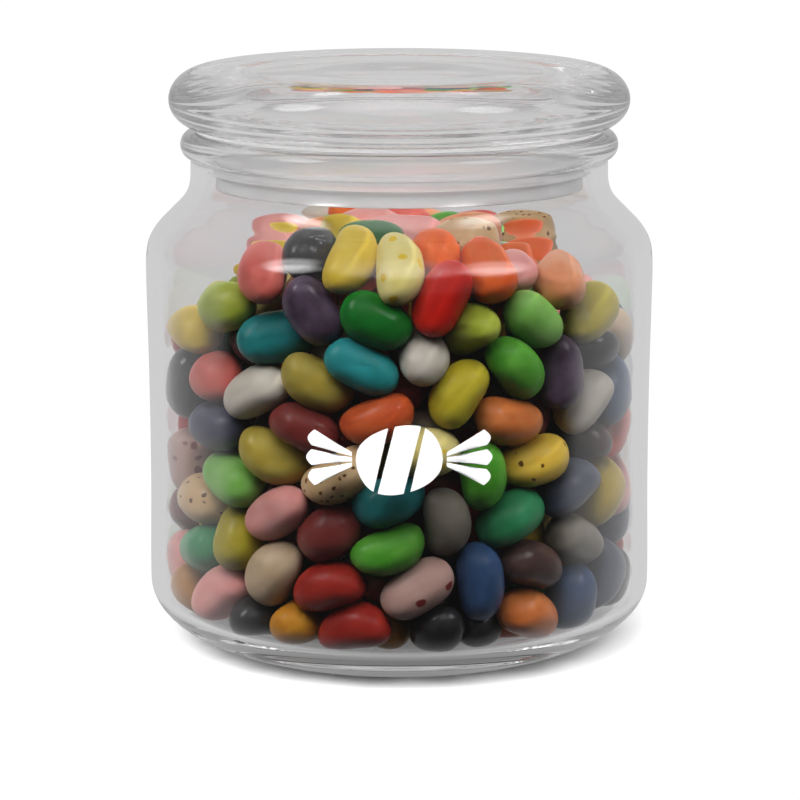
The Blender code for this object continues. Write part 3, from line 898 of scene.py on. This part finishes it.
def make_floor():
    """A plain pale floor: softly shaded round the jar, fading to the white of the surroundings.

    What the glass reflects and bends is a glow painted on the floor in place of a lit table: dark in front
    of the jar, bright behind it and with a painted shadow under it.
    """
    bpy.ops.mesh.primitive_plane_add(size=6.0, location=(0, 0, 0))
    floor = bpy.context.object
    floor.name = "floor"
    made, tree, output = new_material("pale_floor_and_painted_glow")
    links = tree.links
    where = add_node(tree, "ShaderNodeTexCoord").outputs["Object"]
    away = add_node(tree, "ShaderNodeVectorMath", operation="LENGTH")
    links.new(where, away.inputs[0])
    distance = away.outputs["Value"]
    matt = add_node(tree, "ShaderNodeBsdfPrincipled", {
        "Base Color": (0.93, 0.93, 0.93, 1),
        "Roughness": 0.9,
    })
    white = add_node(tree, "ShaderNodeEmission", {"Strength": BACKDROP})
    fade = ramp(tree, distance, FLOOR_FADE)
    seen = mixed_shader(tree, fade, matt.outputs["BSDF"], white.outputs["Emission"])
    # Painted light and shadow: other rays see a glow standing in for a lit table, dimmed under the jar
    apart = add_node(tree, "ShaderNodeSeparateXYZ")
    links.new(where, apart.inputs["Vector"])
    table = ramp(tree, apart.outputs["Y"], TABLE_EDGE, PAINTED_GLOW_IN_FRONT, PAINTED_GLOW_BEHIND)
    shade = ramp(tree, distance, PAINTED_SHADOW_SPAN, PAINTED_SHADOW_UNDER_JAR)
    painted_table_glow = add_node(tree, "ShaderNodeEmission")
    links.new(calculated(tree, "MULTIPLY", table, shade), painted_table_glow.inputs["Strength"])
    to_camera = add_node(tree, "ShaderNodeLightPath").outputs["Is Camera Ray"]
    shown = mixed_shader(tree, to_camera, painted_table_glow.outputs["Emission"], seen)
    links.new(shown, output.inputs["Surface"])
    floor.data.materials.append(made)


def make_softbox(name, bearing, elevation, distance, width, height, radiance):
    """A soft-edged oval softbox at a bearing and elevation seen from the jar, aimed at it."""
    turn, rise = math.radians(bearing), math.radians(elevation)
    flat = distance * math.cos(rise)
    data = bpy.data.lights.new(name, "AREA")
    data.shape = "ELLIPSE"
    data.size, data.size_y = width, height
    data.energy = radiance * math.pi * (math.pi / 4 * width * height)
    data.use_nodes = True
    tree = data.node_tree
    where = add_node(tree, "ShaderNodeNewGeometry")
    off = add_node(tree, "ShaderNodeVectorMath", operation="DISTANCE")
    off.inputs[1].default_value = (0.5, 0.5, 0.0)
    tree.links.new(where.outputs["Parametric"], off.inputs[0])
    fade = ramp(tree, off.outputs["Value"], SOFTBOX_EDGE, high=SOFTBOX_PEAK)
    tree.links.new(fade, tree.nodes["Emission"].inputs["Strength"])
    lamp = bpy.data.objects.new(name, data)
    raised = AIM_HEIGHT + distance * math.sin(rise)
    lamp.location = (flat * math.sin(turn), -flat * math.cos(turn), raised)
    aim = Vector((0, 0, AIM_HEIGHT)) - lamp.location
    lamp.rotation_euler = aim.to_track_quat("-Z", "Y").to_euler()
    bpy.context.scene.collection.objects.link(lamp)
    return lamp


def make_world():
    """White where the camera looks straight at it.

    In what the glass reflects and bends it is a studio: dark behind the camera, brighter behind the jar, and
    a little brighter again straight overhead.
    """
    world = bpy.data.worlds.new("surroundings")
    bpy.context.scene.world = world
    world.use_nodes = True
    tree = world.node_tree
    links = tree.links
    tree.nodes.clear()
    output = add_node(tree, "ShaderNodeOutputWorld")
    back = add_node(tree, "ShaderNodeBackground", {"Color": (1, 1, 1, 1)})
    where = add_node(tree, "ShaderNodeTexCoord")
    apart = add_node(tree, "ShaderNodeSeparateXYZ")
    links.new(where.outputs["Generated"], apart.inputs["Vector"])
    depth = ramp(tree, apart.outputs["Y"], FRONT_TO_BACK, STUDIO_FRONT, STUDIO_BACK)
    ceiling = ramp(tree, apart.outputs["Z"], CEILING_EDGE, high=STUDIO_CEILING)
    to_camera = add_node(tree, "ShaderNodeLightPath").outputs["Is Camera Ray"]
    pick = add_node(tree, "ShaderNodeMix", {"B": BACKDROP})
    links.new(to_camera, pick.inputs["Factor"])
    links.new(calculated(tree, "ADD", depth, ceiling), pick.inputs["A"])
    links.new(pick.outputs["Result"], back.inputs["Strength"])
    links.new(back.outputs["Background"], output.inputs["Surface"])


def make_camera():
    """The camera at the height, distance and tilt from which the jar is seen."""
    data = bpy.data.cameras.new("camera")
    data.sensor_width = 36.0
    data.lens = CAMERA_LENS
    data.shift_x, data.shift_y = CAMERA_SHIFT
    camera = bpy.data.objects.new("camera", data)
    camera.location = CAMERA_PLACE
    camera.rotation_euler = (math.radians(90 - CAMERA_DOWN), 0.0, 0.0)
    bpy.context.scene.collection.objects.link(camera)
    bpy.context.scene.camera = camera


# ---------------------------------------------------------------- the whole

def make_glass():
    """The jar, the lid and the seal, each spun from its CAD node's outline and kept to its height."""
    glass = see_through("clear_glass", *CLEAR_GLASS)
    milky = see_through("milky_plastic", *MILKY_PLASTIC)
    for node, name, finish, slot in (("jar", "jar_glass", glass, "clear_glass"),
                                     ("lid", "lid_glass", glass, "clear_glass"),
                                     ("lid_seal", "seal_ring", milky, "milky_plastic")):
        line, closed = outline_of(node)
        low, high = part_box(node)
        line = smooth(line, closed)
        line[:, 1] = line[:, 1].clip(low[2], high[2])
        piece = turned_piece(name, line, closed, finish)
        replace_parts(piece, node)


def make_heap():
    """The beans and the core that they hide."""
    heap = Heap()
    wall, inward = wall_line()
    beans = lay_beans(heap, wall)
    settle(beans, heap, wall, inward)
    make_beans(beans, wall, inward)
    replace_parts(make_core(heap), "jelly_beans")


def make_studio():
    """The floor, the lamps, the surroundings and the camera, and how far light is followed in the glass."""
    make_floor()
    for name, lamp in SOFTBOXES.items():
        make_softbox(name, *lamp)
    for name, lamp in FILLS.items():
        fill = make_softbox(name, *lamp)
        fill.visible_glossy = False
        fill.visible_transmission = False
    make_world()
    make_camera()
    scene = bpy.context.scene
    scene.view_settings.view_transform = "Standard"
    scene.cycles.max_bounces = LIGHT_BOUNCES
    scene.cycles.transmission_bounces = LIGHT_BOUNCES
    scene.cycles.glossy_bounces = LIGHT_BOUNCES
    scene.cycles.transparent_max_bounces = CLEAR_BOUNCES
    scene.cycles.caustics_refractive = False
    scene.cycles.caustics_reflective = False


def main():
    make_glass()
    make_heap()
    make_print()
    make_studio()


main()
